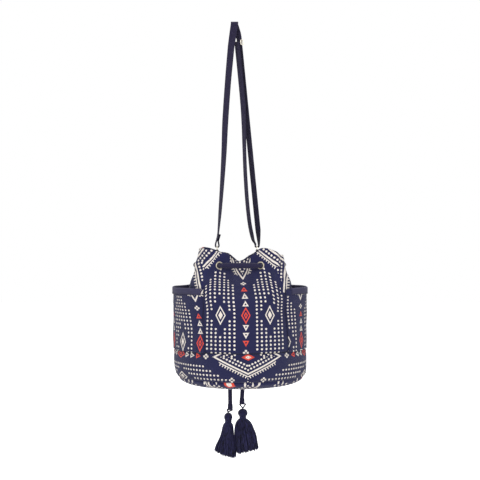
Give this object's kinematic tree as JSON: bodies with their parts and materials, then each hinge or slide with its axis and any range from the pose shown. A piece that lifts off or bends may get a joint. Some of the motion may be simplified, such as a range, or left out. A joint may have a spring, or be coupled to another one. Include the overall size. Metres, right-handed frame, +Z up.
{
  "type": "crossbody drawstring bucket bag",
  "caption": "Soft drawstring bucket bag with side pockets, a sliding adjustable shoulder strap and tassels on its cord tails.",
  "frame": {"origin": "underside of the strap's top fold, the point where the bag hangs", "axes": "+Z up along the hanging strap, -Y towards the bag's front, +X to the right seen from the front"},
  "size_m": [0.2684, 0.2844, 0.904],
  "materials": {
    "printed_cotton": "printed woven cotton canvas",
    "strap_webbing": "woven cotton webbing",
    "braided_cord": "soft braided cotton cord",
    "tassel_yarn": "loose cotton yarn",
    "pale_metal": "polished pale brass plate"
  },
  "bodies": {
    "bag": {"body_wall": "printed_cotton", "lower_band": "printed_cotton", "base_panel": "printed_cotton", "pocket_left": "printed_cotton", "pocket_right": "printed_cotton", "pocket_binding_left": "strap_webbing", "pocket_binding_right": "strap_webbing", "ring_tab_left": "printed_cotton", "ring_tab_right": "printed_cotton", "strap_ring_left": "pale_metal", "strap_ring_right": "pale_metal", "strap": "strap_webbing", "strap_return": "strap_webbing", "drawstring": "braided_cord", "drawstring_tail_left": "braided_cord", "drawstring_tail_right": "braided_cord", "cord_end_left": "braided_cord", "cord_end_right": "braided_cord", "eyelet_front_left": "pale_metal", "eyelet_front_right": "pale_metal", "eyelet_side_right_front": "pale_metal", "eyelet_side_right_back": "pale_metal", "eyelet_back_right": "pale_metal", "eyelet_back_left": "pale_metal", "eyelet_side_left_back": "pale_metal", "eyelet_side_left_front": "pale_metal", "washer_front_left": "pale_metal", "washer_front_right": "pale_metal", "washer_side_right_front": "pale_metal", "washer_side_right_back": "pale_metal", "washer_back_right": "pale_metal", "washer_back_left": "pale_metal", "washer_side_left_back": "pale_metal", "washer_side_left_front": "pale_metal"},
    "slider": {"slider": "pale_metal"},
    "tassel_left": {"tassel_loop_left": "tassel_yarn", "tassel_yarn_left": "tassel_yarn", "tassel_binding_left": "tassel_yarn"},
    "tassel_right": {"tassel_loop_right": "tassel_yarn", "tassel_yarn_right": "tassel_yarn", "tassel_binding_right": "tassel_yarn"}
  },
  "joints": [
    {"name": "slider_travel", "type": "slide", "parent": "bag", "child": "slider", "axis": [0.0982, -0.0062, -0.9951], "range_m": [0, 0.36], "deforming": ["strap_return"]},
    {"name": "tassel_left_swing", "type": "hinge", "parent": "bag", "child": "tassel_left", "pos_m": [-0.0111, 0.1379, -0.7973], "axis": [1, 0, 0], "range_deg": [-60, 60]},
    {"name": "tassel_right_swing", "type": "hinge", "parent": "bag", "child": "tassel_right", "pos_m": [0.0165, 0.1379, -0.7852], "axis": [1, 0, 0], "range_deg": [-60, 60]}
  ]
}
